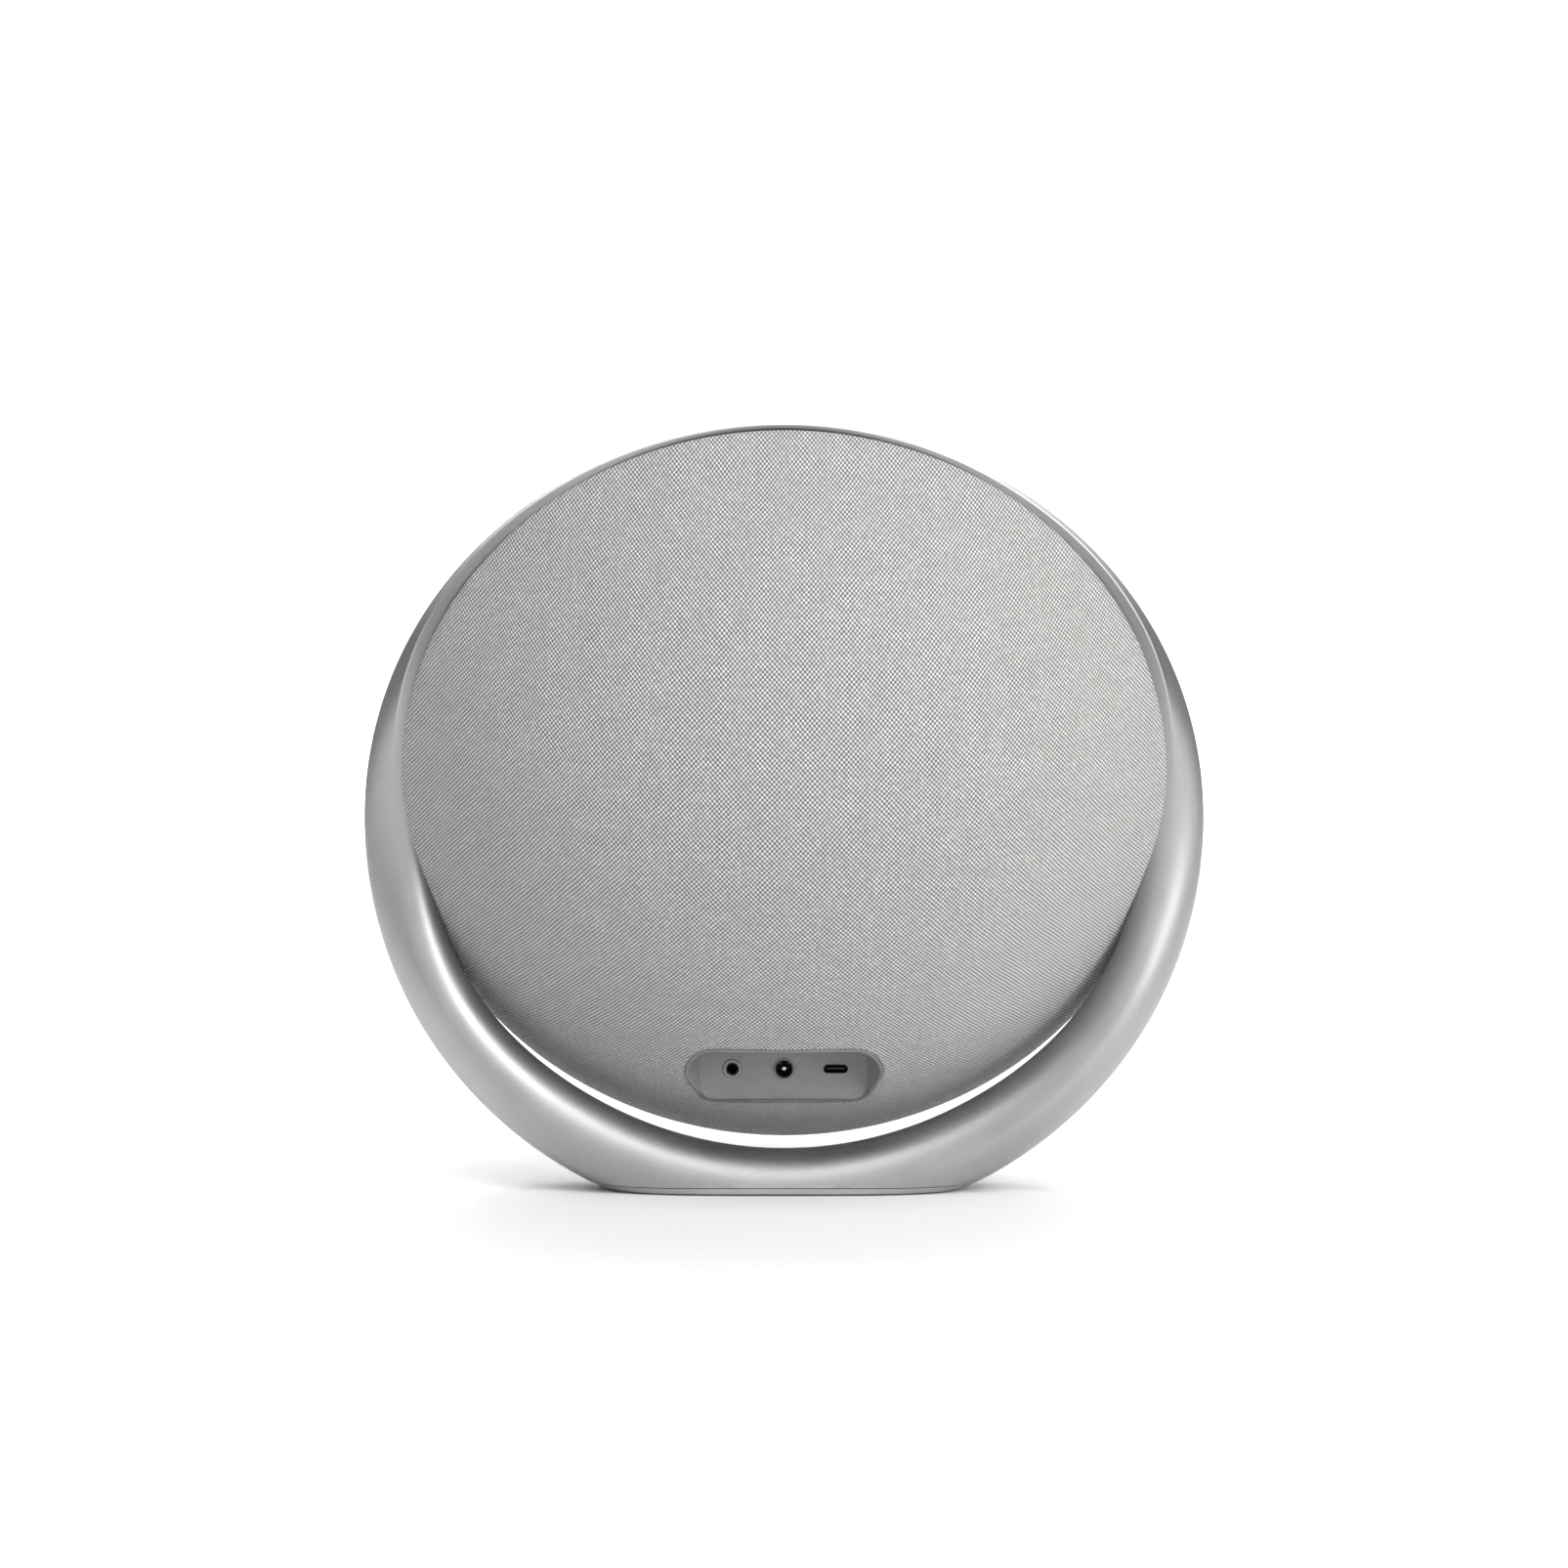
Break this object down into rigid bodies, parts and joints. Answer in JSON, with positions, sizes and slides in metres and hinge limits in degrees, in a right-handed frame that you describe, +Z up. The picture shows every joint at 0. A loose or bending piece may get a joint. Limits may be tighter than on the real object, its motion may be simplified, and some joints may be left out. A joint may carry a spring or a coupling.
{
  "type": "smart speaker",
  "caption": "Portable round speaker: fabric-covered domed body in an aluminium ring that is its handle and stand, with a recessed port panel at the rear.",
  "frame": {"origin": "centre of the foot's underside, where it stands on the table", "axes": "+X to the listener's right, -Y towards the listener, +Z up"},
  "size_m": [0.298, 0.1593, 0.273],
  "materials": {
    "ring_metal": "bead-blasted and anodised, satin",
    "foot_plastic": "fine spark texture",
    "sole_rubber": "matt",
    "rear_knit": "plain woven polyester, heathered grey",
    "front_knit": "plain woven polyester, heathered grey",
    "shell_plastic": "moulded",
    "tray_plastic": "fine spark texture",
    "socket_plastic": "moulded",
    "gasket_rubber": "matt",
    "steel": "plated",
    "magnet": "ground ferrite",
    "board": "solder mask",
    "chip": "moulded epoxy",
    "can": "sleeved",
    "cell_wrap": "shrink sleeve",
    "strap": "adhesive cloth",
    "cone_paper": "pressed pulp",
    "roll_rubber": "matt",
    "spider_cloth": "resin-treated cotton",
    "dome_silk": "coated silk",
    "coil": "enamelled wire",
    "key_plastic": "soft-touch",
    "strip_plastic": "soft-touch",
    "lens": "clear",
    "contact": "nickel plated"
  },
  "bodies": {
    "speaker": {"ring_frame": "ring_metal", "foot_plate": "foot_plastic", "rubber_sole": "sole_rubber", "foot_screws": "steel", "ring_screws": "steel", "port_tray": "tray_plastic", "port_panel": "tray_plastic", "port_gasket": "gasket_rubber", "stereo_socket": "socket_plastic", "power_socket": "socket_plastic", "power_pin": "contact", "usb_shell": "contact", "usb_tongue": "socket_plastic", "port_board": "board", "rear_shell": "shell_plastic", "rear_fabric": "rear_knit", "seam_gasket": "gasket_rubber", "front_shell": "shell_plastic", "front_fabric": "front_knit", "baffle": "shell_plastic", "baffle_screws": "steel", "woofer_basket": "steel", "woofer_screws": "steel", "woofer_magnet": "magnet", "woofer_top_plate": "steel", "woofer_pole": "steel", "woofer_surround": "roll_rubber", "woofer_spider": "spider_cloth", "tweeter_housing_left": "shell_plastic", "tweeter_housing_right": "shell_plastic", "tweeter_magnets": "magnet", "radiator_frame": "shell_plastic", "radiator_screws": "steel", "radiator_surround": "roll_rubber", "main_board": "board", "board_screws": "steel", "amplifier_chips": "chip", "capacitors": "can", "inductors": "chip", "heat_sink": "can", "battery_cells": "cell_wrap", "battery_holder": "shell_plastic", "battery_strap": "strap", "holder_screws": "steel", "button_strip": "strip_plastic", "button_board": "board", "button_switches": "steel", "button_screws": "steel", "status_lens": "lens"},
    "woofer_moving": {"woofer_cone": "cone_paper", "woofer_coil": "coil", "woofer_dust_cap": "cone_paper"},
    "tweeter_left_moving": {"tweeter_dome_left": "dome_silk"},
    "tweeter_right_moving": {"tweeter_dome_right": "dome_silk"},
    "radiator_moving": {"radiator_cone": "can"},
    "key_power": {"button_power": "key_plastic"},
    "key_volume_down": {"button_volume_down": "key_plastic"},
    "key_play": {"button_play": "key_plastic"},
    "key_volume_up": {"button_volume_up": "key_plastic"},
    "key_pairing": {"button_pairing": "key_plastic"}
  },
  "joints": [
    {"name": "woofer_stroke", "type": "slide", "parent": "speaker", "child": "woofer_moving", "axis": [0, -0.9367, 0.3502], "range_m": [-0.004, 0.004], "stiffness_N_per_m": 1500, "deforming": ["woofer_surround", "woofer_spider"]},
    {"name": "tweeter_left_stroke", "type": "slide", "parent": "speaker", "child": "tweeter_left_moving", "axis": [0, -0.9367, 0.3502], "range_m": [-0.0003, 0.0003], "stiffness_N_per_m": 2000},
    {"name": "tweeter_right_stroke", "type": "slide", "parent": "speaker", "child": "tweeter_right_moving", "axis": [0, -0.9367, 0.3502], "range_m": [-0.0003, 0.0003], "stiffness_N_per_m": 2000},
    {"name": "radiator_stroke", "type": "slide", "parent": "speaker", "child": "radiator_moving", "axis": [0, -0.9367, 0.3502], "range_m": [-0.003, 0.003], "stiffness_N_per_m": 1200, "deforming": ["radiator_surround"]},
    {"name": "power_press", "type": "slide", "parent": "speaker", "child": "key_power", "axis": [0.2353, 0.4291, -0.8721], "range_m": [0, 0.0008], "stiffness_N_per_m": 600, "springref_m": -0.0002},
    {"name": "volume_down_press", "type": "slide", "parent": "speaker", "child": "key_volume_down", "axis": [0.1193, 0.4185, -0.9003], "range_m": [0, 0.0008], "stiffness_N_per_m": 600, "springref_m": -0.0002},
    {"name": "play_press", "type": "slide", "parent": "speaker", "child": "key_play", "axis": [0, 0.415, -0.9098], "range_m": [0, 0.0008], "stiffness_N_per_m": 600, "springref_m": -0.0002},
    {"name": "volume_up_press", "type": "slide", "parent": "speaker", "child": "key_volume_up", "axis": [-0.1193, 0.4185, -0.9003], "range_m": [0, 0.0008], "stiffness_N_per_m": 600, "springref_m": -0.0002},
    {"name": "pairing_press", "type": "slide", "parent": "speaker", "child": "key_pairing", "axis": [-0.2353, 0.4291, -0.8721], "range_m": [0, 0.0008], "stiffness_N_per_m": 600, "springref_m": -0.0002}
  ]
}
